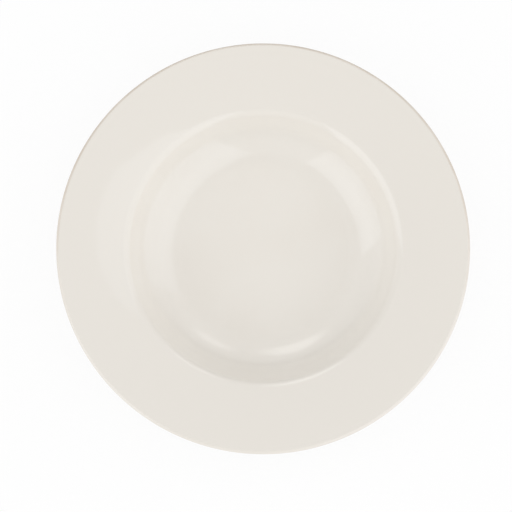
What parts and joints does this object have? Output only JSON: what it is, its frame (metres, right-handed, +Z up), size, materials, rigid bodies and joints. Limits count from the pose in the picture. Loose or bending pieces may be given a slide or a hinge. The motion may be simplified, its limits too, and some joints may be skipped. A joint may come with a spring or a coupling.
{
  "type": "rimmed soup plate",
  "caption": "Round rimmed soup plate with a deep curved well, a broad gently rising rim, a rounded lip and a low foot ring left bare where it stands.",
  "frame": {"origin": "centre of the foot ring's standing face, on the surface that the plate stands on", "axes": "+Z up along the plate's turning axis, out of the well; X and Y are alike, because the plate is a body of revolution"},
  "size_m": [0.23, 0.23, 0.0338],
  "materials": {
    "bare_ceramic": "matt fired ceramic, ground smooth where it stands",
    "cream_glaze": "glossy cream glaze with faint waves, thinner and warmer at the lip",
    "base_glaze": "glossy cream glaze with a few pinholes"
  },
  "bodies": {
    "root": {"ceramic_body": "bare_ceramic", "outer_glaze": "cream_glaze", "base_glaze": "base_glaze"}
  },
  "joints": []
}
